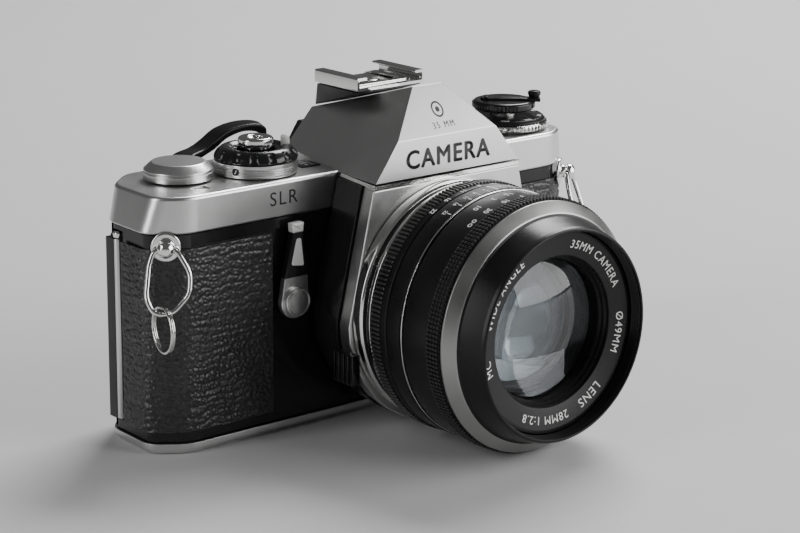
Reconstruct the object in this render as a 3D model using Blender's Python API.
"""A 35 mm single-lens reflex film camera with its wide-angle lens, as an assembly of separate pieces.

Metres, +Z up, the lens looking along -Y. The shapes are written in millimetres: x from the middle of the
body, y from the body's flat front face (plus is backwards) and z from the underside of the base plate.
put() scales them to metres and moves them back by FACE_Y, so that the origin is on the base plane at the
middle of the box round the whole camera."""

import math

import bmesh
import bpy
from mathutils import Matrix, Vector

MM = 0.001

# Driving dimensions, in millimetres
BODY_LENGTH = 133.0
END_X = BODY_LENGTH / 2
BODY_DEPTH = 30.5
BASE_TOP = 2.9
COVER_BASE = 53.9
COVER_TOP = 62.7
LENS_X = 6.4
AXIS_Z = 31.2
APRON_Y = -17.2
FLANGE_Y = -20.5
FILM_Y = FLANGE_Y + 45.5
LENS_FRONT_Y = -59.3
EYEPIECE_BACK_Y = 33.0
FACE_Y = -(LENS_FRONT_Y + EYEPIECE_BACK_Y) / 2
GATE_WIDTH, GATE_HEIGHT = 36.0, 24.0
GAP = 0.3
RUN = 0.08  # radial clearance of a shaft in its hole

# Upright axes, as (x, y)
WIND_AXIS = (-48.8, 17.0)
DIAL_AXIS = (-29.6, 12.0)
REWIND_AXIS = (52.5, 13.6)
TIMER_X, TIMER_Z = -28.8, 33.2
SPOOL_AXIS = (-42.6, 13.5)
SPROCKET_AXIS = (-23.2, 15.0)
DOOR_AXIS = (-64.9, 18.9)
BATTERY_AXIS = (29.0, 8.5)
BUSH_AXIS = (LENS_X, 9.0)
RELEASE_AXIS = (-21.0, 8.0)
MIRROR_HINGE_Y, MIRROR_HINGE_Z = 14.4, 44.4

for old in list(bpy.data.objects):
    bpy.data.objects.remove(old, do_unlink=True)


# ---------------------------------------------------------------- materials
def material(name, colour, roughness, metallic=0.0):
    made = bpy.data.materials.new(name)
    made.use_nodes = True
    shader = made.node_tree.nodes["Principled BSDF"]
    shader.inputs["Base Color"].default_value = (*colour, 1.0)
    shader.inputs["Roughness"].default_value = roughness
    shader.inputs["Metallic"].default_value = metallic
    return made


SATIN_CHROME = material("satin_chrome", (0.62, 0.62, 0.61), 0.38, 1.0)
BRIGHT_CHROME = material("bright_chrome", (0.78, 0.78, 0.77), 0.14, 1.0)
BLACK_PAINT = material("black_paint", (0.012, 0.012, 0.013), 0.28)
BLACK_ANODISED = material("black_anodised", (0.02, 0.02, 0.021), 0.42, 0.4)
BLACK_PLASTIC = material("black_plastic", (0.018, 0.018, 0.019), 0.5)
LEATHERETTE = material("leatherette", (0.022, 0.022, 0.023), 0.62)
RUBBER = material("rubber", (0.02, 0.02, 0.02), 0.75)
CAST_METAL = material("cast_metal", (0.03, 0.03, 0.032), 0.55, 0.3)
STEEL = material("steel", (0.45, 0.45, 0.44), 0.35, 1.0)
SHUTTER_STEEL = material("shutter_steel", (0.12, 0.12, 0.12), 0.45, 0.8)
GLASS = material("glass", (0.55, 0.58, 0.62), 0.05)
MIRROR_COAT = material("mirror_coat", (0.9, 0.9, 0.9), 0.03, 1.0)


# ---------------------------------------------------------------- modelling helpers
def put(bm, name, surface, origin, angle=35):
    """Makes the object of a bmesh in millimetres, with its own origin at the point given."""
    bmesh.ops.remove_doubles(bm, verts=bm.verts, dist=1e-4)
    bmesh.ops.recalc_face_normals(bm, faces=bm.faces)
    corner = Vector(origin)
    for vertex in bm.verts:
        vertex.co = (vertex.co - corner) * MM
    mesh = bpy.data.meshes.new(name)
    bm.to_mesh(mesh)
    bm.free()
    mesh.materials.append(surface)
    mesh.shade_smooth()
    mesh.set_sharp_from_angle(angle=math.radians(angle))
    made = bpy.data.objects.new(name, mesh)
    bpy.context.scene.collection.objects.link(made)
    made.location = (corner + Vector((0, FACE_Y, 0))) * MM
    return made


def combine(target, bm, operation="DIFFERENCE"):
    """Cuts a helper solid from the target, or joins it on."""
    helper = put(bm, f"{target.name}.{operation.lower()}", target.data.materials[0], (0, 0, 0))
    helper.hide_render = True
    helper.display_type = "WIRE"
    step = target.modifiers.new(helper.name, "BOOLEAN")
    step.operation = operation
    step.solver = "EXACT"
    step.object = helper
    return target


def soften(target, width, angle=40):
    step = target.modifiers.new("edges", "BEVEL")
    step.width = width * MM
    step.segments = 1
    step.limit_method = "ANGLE"
    step.angle_limit = math.radians(angle)
    return target


def box(x, y, z):
    bm = bmesh.new()
    bmesh.ops.create_cube(bm, size=1)
    for vertex in bm.verts:
        vertex.co = Vector(side[0] if half < 0 else side[1] for side, half in zip((x, y, z), vertex.co))
    return bm


def hull(points):
    bm = bmesh.new()
    for point in points:
        bm.verts.new(point)
    found = bmesh.ops.convex_hull(bm, input=bm.verts)
    bmesh.ops.delete(bm, geom=list(set(found["geom_interior"])), context="VERTS")
    bmesh.ops.dissolve_limit(bm, angle_limit=math.radians(0.5), verts=bm.verts, edges=bm.edges)
    return bm


def stack(layers):
    """A solid through (outline, height) pairs at rising heights, whose outlines have equal corners."""
    bm = bmesh.new()
    rings = [[bm.verts.new((x, y, height)) for x, y in outline] for outline, height in layers]
    bm.faces.new(rings[0][::-1])
    bm.faces.new(rings[-1])
    for lower, upper in zip(rings, rings[1:]):
        for i in range(len(lower)):
            j = (i + 1) % len(lower)
            bm.faces.new((lower[i], lower[j], upper[j], upper[i]))
    return bm


def slab(outline, low, high):
    return stack([(outline, low), (outline, high)])


def turned(profile, segments, centre=(0, 0, 0), facing=(0, 0, 1)):
    """Spins a closed outline of (radius, height) points about an axis through the centre."""
    bm = bmesh.new()
    ring = [bm.verts.new((radius, 0, height)) for radius, height in profile]
    edges = [bm.edges.new((ring[i], ring[(i + 1) % len(ring)])) for i in range(len(ring))]
    on_axis = [edge for edge in edges if all(vertex.co.x < 1e-9 for vertex in edge.verts)]
    for edge in on_axis:
        bm.edges.remove(edge)
    outline = list(bm.verts) + list(bm.edges)
    bmesh.ops.spin(bm, geom=outline, cent=(0, 0, 0), axis=(0, 0, 1), angle=2 * math.pi, steps=segments)
    bmesh.ops.remove_doubles(bm, verts=bm.verts, dist=1e-4)
    loose = [edge for edge in bm.edges if not edge.link_faces]
    bmesh.ops.delete(bm, geom=loose, context="EDGES")
    turn = Vector((0, 0, 1)).rotation_difference(Vector(facing)).to_matrix().to_4x4()
    bmesh.ops.transform(bm, matrix=Matrix.Translation(centre) @ turn, verts=bm.verts)
    return bm


def tube(inner, outer, low, high):
    return [(inner, low), (outer, low), (outer, high), (inner, high)]


def wire(points, radius, sides=8):
    """A round wire swept along a closed path of points."""
    bm = bmesh.new()
    count = len(points)
    path = [Vector(point) for point in points]
    flat = (path[1] - path[0]).cross(path[2] - path[0]).normalized()
    rings = []
    for i in range(count):
        along = (path[(i + 1) % count] - path[i - 1]).normalized()
        side = along.cross(flat).normalized()
        section = circle(radius, sides)
        rings.append([bm.verts.new(path[i] + x * side + y * flat) for x, y in section])
    for i in range(count):
        this, other = rings[i], rings[(i + 1) % count]
        for k in range(sides):
            j = (k + 1) % sides
            bm.faces.new((this[k], this[j], other[j], other[k]))
    return bm


def circle(radius, steps, centre=(0, 0), start=0.0, sweep=360.0):
    """Points round a circle or an arc, as (x, y)."""
    whole = sweep == 360.0
    angles = [math.radians(start + sweep * k / (steps if whole else steps - 1)) for k in range(steps)]
    return [(centre[0] + radius * math.cos(a), centre[1] + radius * math.sin(a)) for a in angles]


def hole(axis, radius, low, high, segments=24):
    return turned([(0, low), (radius, low), (radius, high), (0, high)], segments, (*axis, 0))


def lens_turned(profile, segments=48):
    """Spins an outline of (radius, distance in front of the body's front face) about the lens axis."""
    return turned(profile, segments, (LENS_X, 0, AXIS_Z), (0, -1, 0))


def mirrored(points):
    """The points given for the lens's right-hand side, and the same on its left-hand side."""
    return [(LENS_X + side * x, y, z) for side in (-1, 1) for x, y, z in points]


# ---------------------------------------------------------------- outlines
def outline_of(corners):
    """A shape that is the same at both ends, from its right-hand corners, given as (in from the end, y)."""
    right = [(END_X - x, y) for x, y in corners]
    return right + [(-x, y) for x, y in right[::-1]]


BODY_OUTLINE = outline_of([(8.1, 0.0), (0.0, 5.8), (0.7, 22.0), (9.7, BODY_DEPTH)])
COVER_RIM = outline_of([(8.4, 0.0), (2.1, 4.4), (2.6, 22.2), (10.6, BODY_DEPTH - 0.9)])


def inset(outline, amount):
    """Moves every side of a counter-clockwise outline inwards."""
    count = len(outline)
    corners = [Vector(point) for point in outline]
    moved = []
    for i in range(count):
        first = (corners[i] - corners[i - 1]).normalized()
        second = (corners[(i + 1) % count] - corners[i]).normalized()
        inward = Vector((-first.y, first.x)) + Vector((-second.y, second.x))
        scale = amount / (1 + first.dot(second))
        moved.append(tuple(corners[i] + inward * scale))
    return moved


def behind(outline, y):
    """The part of an outline that lies behind a plane of constant y."""
    kept = []
    for (x0, y0), (x1, y1) in zip(outline, outline[1:] + outline[:1]):
        if y0 >= y:
            kept.append((x0, y0))
        if (y0 < y) != (y1 < y):
            share = (y - y0) / (y1 - y0)
            kept.append((x0 + share * (x1 - x0), y))
    return kept


def before(outline, y):
    return [(x, -depth) for x, depth in behind([(x, -depth) for x, depth in outline][::-1], -y)][::-1]


# ---------------------------------------------------------------- body casting
DOOR_FRONT_Y = 21.8
APRON_R = 31.0  # the apron's lower edge follows the mount
APRON_OUTLINE = [(23.2, 61.3), (30.6, 29.0)] + [
    (x, AXIS_Z + z) for x, z in circle(APRON_R, 6, (0, 0), -12, -53)
]


def apron(front, back, step=0.0):
    """The box round the mirror, which narrows a little towards the body."""
    taper = 0.185 * (back - front)
    points = [(x - step, front, z) for x, z in APRON_OUTLINE]
    points += [(x - step - taper, back, z) for x, z in APRON_OUTLINE]
    return hull(mirrored(points))


def lens_box(half, y, z):
    return box((LENS_X - half, LENS_X + half), y, z)


CASTING_OUTLINE = inset(BODY_OUTLINE, 0.8)
casting = put(
    slab(before(CASTING_OUTLINE, DOOR_FRONT_Y - GAP), BASE_TOP + GAP, COVER_BASE - GAP),
    "body_casting",
    CAST_METAL,
    (0, 12, 28),
)
combine(casting, apron(APRON_Y + 5.3, -GAP, 0.3), "UNION")
combine(casting, lens_box(17.0, (-2.0, 3.0), (5.0, 12.0)), "UNION")
combine(casting, lens_box(21.5, (19.4, FILM_Y - 0.2), (8.0, 51.0)), "UNION")
combine(casting, lens_box(19.8, (-13.0, 15.6), (14.0, 62.0)))
combine(casting, lens_box(20.6, (15.0, 19.4), (6.5, 60.0)))
half_gate = GATE_HEIGHT / 2
combine(casting, lens_box(GATE_WIDTH / 2, (19.0, 30.0), (AXIS_Z - half_gate, AXIS_Z + half_gate)))

# Chambers for the cartridge, the take-up spool and the sprocket, open to the back
CHAMBERS = ((REWIND_AXIS, 12.7, 5.5, 51.0), (SPOOL_AXIS, 11.4, 5.5, 51.0), (SPROCKET_AXIS, 7.4, 7.0, 50.0))
for (x, y), radius, low, high in CHAMBERS:
    mouth = circle(radius, 17, (x, y), 180, 180.1)
    combine(casting, slab(mouth + [(x + radius, 26.0), (x - radius, 26.0)], low, high))

# Wells in the foot for the battery, the tripod bush and the rewind release, and holes for the shafts
for axis, radius, low, high in (
    (BATTERY_AXIS, 6.2, 2.0, 9.5),
    (BUSH_AXIS, 6.4, 2.0, 10.5),
    (RELEASE_AXIS, 2.3, 2.0, 6.0),
    (REWIND_AXIS, 3.2 + RUN, 49.0, 56.0),
    (DIAL_AXIS, 2.4, 47.0, 56.0),
):
    combine(casting, hole(axis, radius, low, high))
# The recess for the door's hinge, and the slot for its latch
combine(casting, box((DOOR_AXIS[0] - 4.1, DOOR_AXIS[0] + 1.3), (16.4, 23.0), (5.4, 52.5)))
combine(casting, box((END_X - 4.3, END_X + 2.5), (18.6, 23.0), (14.0, 51.0)))

# ---------------------------------------------------------------- top cover with the prism housing
shell_layers = [(BODY_OUTLINE, COVER_BASE), (COVER_RIM, COVER_TOP)]
cover = put(stack(shell_layers), "top_cover", SATIN_CHROME, (0, 12, 58), 22)
soften(cover, 0.7, 25)
# The housing's front face leans back above its break, and its roof falls away to the back and to both sides
roof = [
    (22.7, APRON_Y, 62.8),
    (20.2, 0.5, 62.4),
    (13.8, 29.6, 62.4),
    (19.4, APRON_Y + 0.1, 66.9),
    (15.6, APRON_Y + 0.4, 72.0),
    (4.5, -8.9, 82.8),
    (5.6, 29.0, 72.0),
]
hollow = [
    (20.6, -15.7, 60.0),
    (18.2, 1.5, 60.0),
    (12.4, 28.0, 60.0),
    (17.5, -15.7, 66.4),
    (13.9, -15.5, 71.2),
    (3.8, -7.6, 80.9),
    (4.5, 27.4, 70.9),
]
combine(cover, hull(mirrored(roof)), "UNION")
inner_layers = [(inset(BODY_OUTLINE, 1.4), COVER_BASE - 0.5), (inset(COVER_RIM, 1.2), COVER_TOP - 1.2)]
combine(cover, stack(inner_layers))
combine(cover, hull(mirrored(hollow)))
combine(cover, lens_box(18.6, (-2.0, 3.0), (50.0, 61.2)))
combine(cover, lens_box(8.4, (27.0, 32.0), (57.2, 65.4)))
COUNTER_X, COUNTER_Y = (-52.4, -48.2), (4.2, 7.2)
combine(cover, box(COUNTER_X, COUNTER_Y, (60.0, 64.0)))
for axis, radius in ((WIND_AXIS, 2.5), (DIAL_AXIS, 2.6), (REWIND_AXIS, 3.2 + RUN)):
    combine(cover, hole(axis, radius, 55.0, 70.0))

pane = [(low + 0.2, high - 0.2) for low, high in (COUNTER_X, COUNTER_Y)]
put(box(*pane, (61.4, 62.5)), "counter_window", GLASS, (COUNTER_X[0], COUNTER_Y[0], 62))

# ---------------------------------------------------------------- base plate and what is set in it
BASE_SEAT = inset(BODY_OUTLINE, 1.5)
base_layers = [(BASE_SEAT, 0.0), (BODY_OUTLINE, 1.3), (BODY_OUTLINE, BASE_TOP)]
base = put(stack(base_layers), "base_plate", SATIN_CHROME, (0, 12, 0))
for axis, radius in ((BATTERY_AXIS, 6.2), (BUSH_AXIS, 6.4), (RELEASE_AXIS, 2.3)):
    combine(base, hole(axis, radius, -1.0, 4.0, 32))

bush = [(2.9, 0.2), (6.1, 0.2), (6.1, 10.1), (0, 10.1), (0, 8.0), (2.9, 8.0)]
put(turned(bush, 32, (*BUSH_AXIS, 0)), "tripod_bush", STEEL, (*BUSH_AXIS, 5))
battery = put(hole(BATTERY_AXIS, 5.9, 0.25, 2.8, 32), "battery_cover", STEEL, (*BATTERY_AXIS, 1))
coin_slot = [(middle - half, middle + half) for middle, half in zip(BATTERY_AXIS, (4.6, 0.7))]
combine(battery, box(*coin_slot, (-1, 1.1)))
release = [(0, 0.3), (1.8, 0.3), (1.8, 2.6), (2.1, 2.6), (2.1, 3.4), (1.2, 3.4), (1.2, 4.6), (0, 4.6)]
put(turned(release, 20, (*RELEASE_AXIS, 0)), "rewind_release", BRIGHT_CHROME, (*RELEASE_AXIS, 2))

# ---------------------------------------------------------------- front panel, trim strip and lens mount
panel = put(apron(APRON_Y, APRON_Y + 5.0), "front_panel", SATIN_CHROME, (LENS_X, APRON_Y, AXIS_Z), 25)
combine(panel, lens_turned([(0, 8), (24.0, 8), (24.0, 20), (0, 20)]))
combine(panel, lens_box(18.6, (-13.5, -10.0), (20.0, 56.0)))

band = [(x, y, z) for z in (61.5, 62.2) for x, y in ((23.2, APRON_Y - 0.3), (20.4, -1.2))]
strip = put(hull(mirrored(band)), "trim_strip", BRIGHT_CHROME, (LENS_X, -10, 62))
within = [(x, y, z) for z in (60, 64) for x, y in ((21.2, APRON_Y + 1.5), (18.4, 1.0))]
combine(strip, hull(mirrored(within)))

flange = tube(22.2, 29.7, -APRON_Y + GAP, -FLANGE_Y)
put(lens_turned(flange), "mount_flange", BRIGHT_CHROME, (LENS_X, FLANGE_Y, AXIS_Z))

# ---------------------------------------------------------------- leatherette on the body
LEATHER_LOW, LEATHER_HIGH = 5.7, 50.3
TIMER_PLATE_X = TIMER_X - 4.9
skin_outline = before(inset(BODY_OUTLINE, 0.05), 16.1)
PANEL_EDGE_X = LENS_X + 29.6
for name, kept in (("leatherette_left", (-70.0, TIMER_PLATE_X)), ("leatherette_right", (PANEL_EDGE_X, 70.0))):
    skin = put(slab(skin_outline, LEATHER_LOW, LEATHER_HIGH), name, LEATHERETTE, (sum(kept) / 2, 0, 28))
    combine(skin, slab(inset(BODY_OUTLINE, 0.5), LEATHER_LOW - 1, LEATHER_HIGH + 1))
    combine(skin, box(kept, (-2, 20), (0, 60)), "INTERSECT")

# ---------------------------------------------------------------- back door
door_pan = slab(behind(CASTING_OUTLINE, DOOR_FRONT_Y), BASE_TOP + GAP, COVER_BASE - GAP)
door = put(door_pan, "back_door", BLACK_PAINT, (*DOOR_AXIS, 28))
combine(door, slab(inset(BODY_OUTLINE, 2.3), BASE_TOP + 1.6, COVER_BASE - 1.6))
KNUCKLE_LOW, KNUCKLE_HIGH = 6.0, 50.4
leaf_x = (DOOR_AXIS[0] - 1.4, DOOR_AXIS[0] + 0.6)
combine(door, box(leaf_x, (DOOR_AXIS[1], 22.3), (KNUCKLE_LOW, KNUCKLE_HIGH)), "UNION")
combine(door, hole(DOOR_AXIS, 1.2, KNUCKLE_LOW, KNUCKLE_HIGH, 16), "UNION")
combine(door, hole(DOOR_AXIS, 0.5 + RUN, 0.0, 60.0, 16))
pin = [(0, 5.6), (0.5, 5.6), (0.5, 50.7), (1.0, 50.7), (1.0, 52.2), (0, 52.2)]
put(turned(pin, 12, (*DOOR_AXIS, 0)), "door_hinge_pin", BRIGHT_CHROME, (*DOOR_AXIS, 28))

back_sheet = slab(behind(inset(BODY_OUTLINE, 0.05), DOOR_FRONT_Y + 0.8), LEATHER_LOW, LEATHER_HIGH)
back_skin = put(back_sheet, "back_leatherette", LEATHERETTE, (0, 30, 28))
combine(back_skin, slab(inset(BODY_OUTLINE, 0.5), LEATHER_LOW - 1, LEATHER_HIGH + 1))

film_plate = lens_box(28.0, (FILM_Y + 0.2, FILM_Y + 1.0), (15.5, 47.0))
put(film_plate, "pressure_plate", BLACK_ANODISED, (LENS_X, FILM_Y, 31))
latch_bar = box((END_X - 2.7, END_X - 1.5), (19.2, 21.2), (20.0, 46.0))
latch = put(latch_bar, "door_latch", STEEL, (END_X - 2, 20, 33))
combine(latch, box((END_X - 3.9, END_X - 2.3), (19.4, 21.0), (30.0, 34.0)), "UNION")

# ---------------------------------------------------------------- reflex viewfinder
along = Vector((0, -math.sqrt(0.5), -math.sqrt(0.5)))
under = Vector((0, math.sqrt(0.5), -math.sqrt(0.5)))
hinge_point = Vector((LENS_X, MIRROR_HINGE_Y, MIRROR_HINGE_Z))
mirror_corners = [
    hinge_point + Vector((side * 18.4, 0, 0)) + along * reach + under * depth
    for side in (-1, 1)
    for reach in (0.0, 27.0)
    for depth in (0.0, 1.3)
]
put(hull(mirror_corners), "mirror", MIRROR_COAT, hinge_point)
put(lens_box(18.2, (-8.8, 13.6), (51.8, 53.3)), "focusing_screen", GLASS, (LENS_X, 2, 52))
prism = [(14.4, -8.4, 54.2), (14.4, 13.8, 54.2), (14.2, -8.6, 64.6), (11.2, 15.8, 63.0)]
prism += [(1.0, -4.0, 77.8), (1.0, 8.0, 74.4)]
put(hull(mirrored(prism)), "pentaprism", GLASS, (LENS_X, 2, 64))

eyepiece_corners = [(10.4, y, 55.4) for y in (30.9, EYEPIECE_BACK_Y)]
eyepiece_corners += [(x, y, z) for x, z in ((10.0, 64.0), (7.2, 68.2)) for y in (30.9, EYEPIECE_BACK_Y)]
frame = put(hull(mirrored(eyepiece_corners)), "eyepiece_frame", BLACK_PLASTIC, (LENS_X, 30, 62))
combine(frame, lens_box(8.2, (29.0, 34.0), (57.4, 65.2)))
put(lens_box(7.9, (31.0, 32.2), (57.7, 64.9)), "eyepiece_lens", GLASS, (LENS_X, 30, 61))

# ---------------------------------------------------------------- shutter
plate = put(lens_box(20.2, (15.9, 16.9), (6.8, 52.4)), "shutter_frame", BLACK_ANODISED, (LENS_X, 16, 30))
combine(plate, lens_box(18.2, (15.0, 18.0), (AXIS_Z - 12.2, AXIS_Z + 12.2)))
LEAF_HEIGHT, LEAF_STEP = 9.4, 8.0
leaf_low = AXIS_Z - (LEAF_HEIGHT + 2 * LEAF_STEP) / 2
for step, name in enumerate(("lower", "middle", "upper")):
    low = leaf_low + step * LEAF_STEP
    y = 17.3 + 0.55 * step
    leaf = lens_box(19.6, (y, y + 0.2), (low, low + LEAF_HEIGHT))
    put(leaf, f"shutter_leaf_{name}", SHUTTER_STEEL, (LENS_X, y, low))

# ---------------------------------------------------------------- film transport
spool = [(0, 6.5), (5.4, 6.5), (5.4, 8.0), (4.2, 8.0), (4.2, 48.5), (5.4, 48.5)]
spool += [(5.4, 50.2), (0, 50.2)]
put(turned(spool, 20, (*SPOOL_AXIS, 0)), "take_up_spool", BLACK_PLASTIC, (*SPOOL_AXIS, 28))
sprocket = put(hole(SPROCKET_AXIS, 5.2, 8.0, 49.0, 16), "film_sprocket", STEEL, (*SPROCKET_AXIS, 28))
TEETH = 8
tooth_ring = [
    (SPROCKET_AXIS[0] + radius * math.cos(angle), SPROCKET_AXIS[1] + radius * math.sin(angle))
    for tooth in range(TEETH)
    for radius, angle in (
        (6.6, 2 * math.pi * tooth / TEETH),
        (5.4, 2 * math.pi * (tooth + 0.25) / TEETH),
        (5.4, 2 * math.pi * (tooth + 0.75) / TEETH),
    )
]
for low in (15.6, 44.8):
    combine(sprocket, slab(tooth_ring, low, low + 1.8), "UNION")

# ---------------------------------------------------------------- hot shoe
shoe_seat = [(4.4, 4.8, 79.3), (5.2, 28.2, 72.6), (10.4, 4.8, 79.8), (10.4, 20.8, 79.8)]
put(hull(mirrored(shoe_seat)), "shoe_base", BLACK_PLASTIC, (LENS_X, 14, 80))
SHOE_Y, SHOE_LOW, SHOE_HIGH = (4.4, 21.2), 80.1, 83.4
shoe = put(lens_box(10.7, SHOE_Y, (SHOE_LOW, SHOE_HIGH)), "hot_shoe", BRIGHT_CHROME, (LENS_X, 13, SHOE_LOW))
combine(shoe, lens_box(9.9, (3.0, 23.0), (SHOE_LOW + 0.7, SHOE_HIGH - 0.7)))
combine(shoe, lens_box(7.7, (3.0, 23.0), (SHOE_LOW + 0.7, SHOE_HIGH + 1)))
CONTACT_AXIS = (LENS_X, 12.6)
combine(shoe, hole(CONTACT_AXIS, 2.5, SHOE_LOW - 1, SHOE_LOW + 2, 16))
contact = hole(CONTACT_AXIS, 2.1, SHOE_LOW, SHOE_LOW + 0.9, 16)
put(contact, "shoe_contact", BRIGHT_CHROME, (*CONTACT_AXIS, SHOE_LOW))


# ---------------------------------------------------------------- wind lever
def blade(stations):
    """A bar along stations of (x, y, half-width, underside, top)."""
    bm = bmesh.new()
    rings = []
    for i, (x, y, half, low, high) in enumerate(stations):
        here, there = stations[max(i - 1, 0)], stations[min(i + 1, len(stations) - 1)]
        across = Vector((here[1] - there[1], there[0] - here[0], 0)).normalized() * half
        middle = Vector((x, y, 0))
        corners = ((-1, low), (1, low), (1, high), (-1, high))
        rings.append([bm.verts.new(middle + side * across + Vector((0, 0, z))) for side, z in corners])
    for first, second in zip(rings, rings[1:]):
        for k in range(4):
            j = (k + 1) % 4
            bm.faces.new((first[k], first[j], second[j], second[k]))
    bm.faces.new(rings[0][::-1])
    bm.faces.new(rings[-1])
    return bm


WIND_STATIONS = [
    (WIND_AXIS[0] + x, WIND_AXIS[1] + y, half, low, high)
    for x, y, half, low, high in (
        (-0.8, -1.0, 4.6, 64.0, 65.2),
        (4.2, 5.0, 3.4, 64.0, 65.2),
        (6.8, 7.4, 2.8, 64.4, 66.6),
        (11.6, 9.0, 2.6, 64.9, 66.9),
        (15.4, 9.6, 2.6, 65.8, 68.4),
        (19.6, 10.0, 2.8, 67.4, 70.4),
        (24.8, 9.9, 3.0, 68.6, 71.3),
        (29.2, 9.2, 3.0, 68.2, 71.2),
        (31.8, 8.2, 2.6, 66.6, 69.4),
    )
]
lever = put(blade(WIND_STATIONS), "wind_lever", BLACK_PLASTIC, (*WIND_AXIS, 64))
soften(lever, 0.4, 30)
combine(lever, hole(WIND_AXIS, 2.3, 57.0, 64.6, 20), "UNION")
cap_profile = [(7.0, 63.1), (8.3, 63.1), (8.3, 64.9), (8.0, 65.1), (8.0, 65.4), (8.3, 65.6)]
cap_profile += [(6.4, 67.1), (0, 67.1), (0, 66.2), (7.0, 65.5)]
cap = put(turned(cap_profile, 32, (*WIND_AXIS, 0)), "wind_lever_cap", SATIN_CHROME, (*WIND_AXIS, 64))
slot = [(x, y, half + GAP, low - GAP, high + GAP) for x, y, half, low, high in WIND_STATIONS[:3]]
combine(cap, blade(slot))

# ---------------------------------------------------------------- shutter dial and release
dial_x, dial_y = DIAL_AXIS
put(turned(tube(4.2, 10.15, 63.0, 66.0), 32, (*DIAL_AXIS, 0)), "dial_base", SATIN_CHROME, (*DIAL_AXIS, 64))
dial_profile = [(5.1, 66.3), (10.1, 66.3), (9.7, 68.0), (8.9, 69.1), (6.4, 69.1), (5.1, 68.2)]
dial = put(turned(dial_profile, 32, (*DIAL_AXIS, 0)), "mode_dial", BLACK_ANODISED, (*DIAL_AXIS, 67))
button_profile = [(0, 51.0), (2.1, 51.0), (2.1, 66.4), (3.7, 66.4), (3.7, 69.3), (4.3, 69.6)]
button_profile += [(4.3, 70.9), (3.9, 71.3), (1.5, 71.3), (0.9, 70.4), (0, 70.4)]
put(turned(button_profile, 24, (*DIAL_AXIS, 0)), "shutter_button", BRIGHT_CHROME, (*DIAL_AXIS, 70))
peg_axis = (dial_x + 7.4, dial_y - 1.9)
combine(dial, hole(peg_axis, 1.1 + RUN, 65.0, 71.0, 12))
peg = [(0, 67.6), (1.1, 67.6), (1.1, 70.8), (0.7, 71.2), (0, 71.2)]
put(turned(peg, 12, (*peg_axis, 0)), "dial_lock_button", SATIN_CHROME, (*peg_axis, 69))

# ---------------------------------------------------------------- rewind side
rewind_x, rewind_y = REWIND_AXIS
put(turned(tube(2.3 + RUN, 3.2, 50.4, 66.4), 20, (*REWIND_AXIS, 0)), "rewind_bush", STEEL, (*REWIND_AXIS, 60))
shaft = put(hole(REWIND_AXIS, 2.3, 39.0, 66.7, 20), "rewind_shaft", STEEL, (*REWIND_AXIS, 55))
combine(shaft, box((rewind_x - 3.6, rewind_x + 3.6), (rewind_y - 0.8, rewind_y + 0.8), (37.5, 41.5)), "UNION")
speed_profile = [(3.5, 63.1), (11.2, 63.1), (11.8, 63.5), (11.8, 65.2), (10.9, 66.0), (3.5, 66.0)]
put(turned(speed_profile, 36, (*REWIND_AXIS, 0)), "film_speed_dial", BLACK_ANODISED, (*REWIND_AXIS, 64))
knob_profile = [(0, 67.0), (4.6, 67.0), (4.6, 67.7), (7.8, 67.7), (8.3, 68.1)]
knob_profile += [(8.3, 69.5), (7.7, 70.0), (0, 70.0)]
knob = put(turned(knob_profile, 32, (*REWIND_AXIS, 0)), "rewind_knob", BLACK_ANODISED, (*REWIND_AXIS, 68))
# The crank folds flat in a channel across the knob, with its handle at the rim
CRANK_TURN = math.radians(-40)
crank_along = Vector((math.cos(CRANK_TURN), math.sin(CRANK_TURN), 0))


def on_knob(bm):
    turn = Matrix.Translation((rewind_x, rewind_y, 0)) @ Matrix.Rotation(CRANK_TURN, 4, "Z")
    bmesh.ops.transform(bm, matrix=turn, verts=bm.verts)
    return bm


combine(knob, on_knob(box((-6.0, 12.0), (-2.1, 2.1), (69.0, 72.0))))
CRANK_HINGE_Z = 70.0
crank_hinge = Vector((rewind_x, rewind_y, CRANK_HINGE_Z)) - 4.6 * crank_along
crank = put(on_knob(box((-4.6, 9.6), (-1.7, 1.7), (69.5, 70.5))), "rewind_crank", BLACK_ANODISED, crank_hinge)
crank_end = turned([(0, -1.7), (0.85, -1.7), (0.85, 1.7), (0, 1.7)], 16, (-4.6, 0, CRANK_HINGE_Z), (0, 1, 0))
combine(crank, on_knob(crank_end), "UNION")
handle = turned([(0, 69.6), (1.5, 69.6), (1.8, 71.6), (1.4, 72.3), (0, 72.3)], 16, (8.0, 0, 0))
combine(crank, on_knob(handle), "UNION")

# ---------------------------------------------------------------- self-timer and lens release
timer_arm = [(-1.0, 52.5), (2.4, 52.5), (2.2, 50.2), (3.7, 39.6)]
timer_arm += [(x, TIMER_Z + z) for x, z in circle(4.2, 11, (0, 0), 20, -220)]
timer_arm += [(-3.2, 39.6), (-0.8, 50.2)]
timer_points = [(TIMER_X + x, z) for x, z in timer_arm]


def front_plate(points, front, back):
    """A flat plate facing forwards, from its outline of (x, z) points."""
    bm = slab(points[::-1], 0, 1)
    for vertex in bm.verts:
        x, z, depth = vertex.co
        vertex.co = (x, front + depth * (back - front), z)
    return bm


put(front_plate(timer_points, -2.6, -0.9), "self_timer_lever", SATIN_CHROME, (TIMER_X, -2, TIMER_Z))
cap_edge = [(0, 2.9), (3.6, 2.9), (3.6, 3.5), (3.3, 3.8), (0, 3.8)]
timer_cap = turned(cap_edge, 24, (TIMER_X, 0, TIMER_Z), (0, -1, 0))
put(timer_cap, "self_timer_cap", SATIN_CHROME, (TIMER_X, -3, TIMER_Z))

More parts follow.
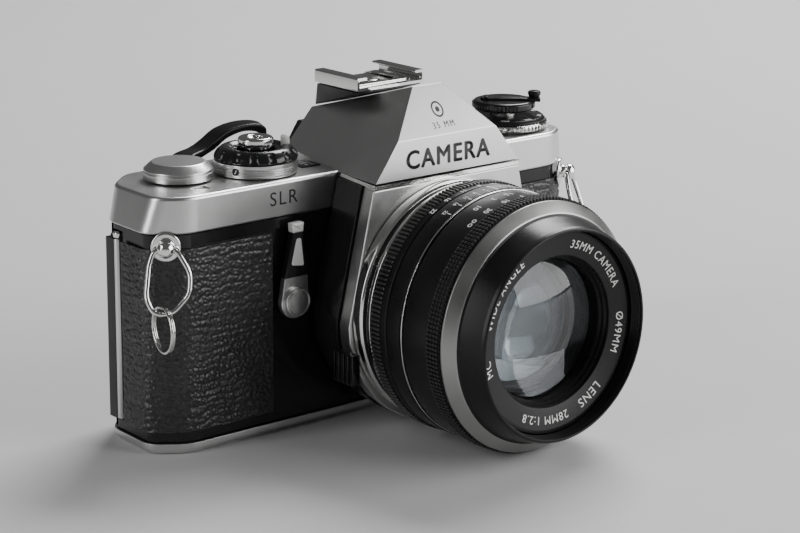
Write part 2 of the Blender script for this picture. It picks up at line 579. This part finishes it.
tab = box((LENS_X - 32.7, LENS_X - 30.4), (-21.0, -14.0), (15.8, 23.2))
release_lever = put(tab, "lens_release", BLACK_ANODISED, (LENS_X - 32, -12, 19.5))
for ridge in range(4):
    y = -20.4 + 1.7 * ridge
    combine(release_lever, box((LENS_X - 34.0, LENS_X - 32.1), (y + 0.6, y + 1.1), (15.0, 24.0)))


# ---------------------------------------------------------------- strap lugs and their rings
def rounded(points):
    """Cuts the corners of a closed path."""
    return [
        tuple(a + share * (b - a) for a, b in zip(here, there))
        for here, there in zip(points, points[1:] + points[:1])
        for share in (0.25, 0.75)
    ]


LUG_Z = 51.2
LUG_EYE = 2.7  # the eye's distance out from the end facet
LUG_PROFILE = [(0, 0.3), (3.5, 0.3), (3.5, 0.8), (3.1, 1.0), (1.9, 1.0)]
LUG_PROFILE += [(1.9, 3.2), (1.5, 4.1), (0.8, 4.6), (0, 4.7)]
RING_LEAN = math.radians(18)
# The strap ring as (across, up), with its top bar at 0.8 and its bottom bar at -14
RING_TOP, RING_BAR = 0.8, -14.0
RING_PATH = [(-2.6, RING_TOP), (2.4, RING_TOP), (5.6, -4.6), (5.4, -9.6)]
RING_PATH += [(1.4, RING_BAR), (-2.8, -14.2), (-4.6, -10.4), (-3.8, -2.4)]
RING_WIRE, SPLIT_WIRE, SPLIT_R = 0.6, 0.8, 5.35
END_FACET = Vector((8.1, 5.8, 0))

for side, hand in ((-1, "left"), (1, "right")):
    facet_middle = Vector((side * (END_X - END_FACET.x / 2), END_FACET.y / 2, LUG_Z))
    out = Vector((side * END_FACET.y, -END_FACET.x, 0)).normalized()
    across = out.cross(Vector((0, 0, side)))
    eye = facet_middle + out * LUG_EYE
    lug = put(turned(LUG_PROFILE, 20, facet_middle, out), f"strap_lug_{hand}", BRIGHT_CHROME, facet_middle)
    combine(lug, turned([(0, -4), (1.0, -4), (1.0, 4), (0, 4)], 12, eye, across))
    down = Vector((0, 0, -math.cos(RING_LEAN))) + out * math.sin(RING_LEAN)
    ring_path = [eye + across * x - down * (z - RING_TOP) for x, z in rounded(RING_PATH)]
    put(wire(ring_path, RING_WIRE), f"strap_ring_{hand}", BRIGHT_CHROME, eye)
    bar = eye + down * (RING_TOP - RING_BAR) - across * 0.7
    split_centre = bar - Vector((0, 0, SPLIT_R - SPLIT_WIRE - RING_WIRE - 0.1))
    split_path = [split_centre + out * x + Vector((0, 0, z)) for x, z in circle(SPLIT_R, 28)]
    put(wire(split_path, SPLIT_WIRE), f"split_ring_{hand}", STEEL, bar)

# ---------------------------------------------------------------- lens
BARREL = [
    (12.7, 14.4),
    (21.9, 14.4),
    (21.9, 20.8),
    (29.2, 20.8),
    (29.2, 24.4),
    (26.1, 24.4),
    (26.1, 36.0),
    (24.2, 36.0),
    (24.2, 46.0),
    (21.6, 46.0),
    (21.6, 17.4),
    (12.7, 17.4),
]
FRONT_BARREL = [
    (24.5, 37.5),
    (27.6, 37.5),
    (27.6, 49.5),
    (30.3, 49.5),
    (30.3, 50.0),
    (27.8, 52.0),
    (27.2, 52.4),
    (26.0, 58.0),
    (25.6, -LENS_FRONT_Y),
    (24.5, -LENS_FRONT_Y),
]
NAME_RING = [(16.9, 47.5), (24.2, 47.5), (24.2, 55.9), (23.4, 55.9), (18.2, 54.9), (16.9, 51.8)]
RING_R = 30.9
LENS_PIECES = (
    ("lens_barrel", BARREL, BLACK_ANODISED),
    ("aperture_ring", tube(26.4, RING_R, 24.7, 30.2), BLACK_ANODISED),
    ("scale_ring", tube(26.4, RING_R - 0.3, 30.5, 36.0), BLACK_ANODISED),
    ("focus_ring", tube(27.9, RING_R, 36.3, 49.2), RUBBER),
    ("front_barrel", FRONT_BARREL, BLACK_ANODISED),
    ("name_ring", NAME_RING, BLACK_ANODISED),
    ("front_element", [(0, 48.0), (16.6, 48.0), (16.6, 50.4), (12.4, 52.2), (6.4, 53.4), (0, 53.8)], GLASS),
    ("iris_unit", tube(8.0, 21.3, 36.6, 37.4), BLACK_ANODISED),
    ("rear_element", [(0, 13.8), (7.0, 14.2), (12.4, 15.2), (12.4, 17.0), (0, 18.4)], GLASS),
)
for name, profile, surface in LENS_PIECES:
    put(lens_turned(profile), name, surface, (LENS_X, -profile[0][1], AXIS_Z))
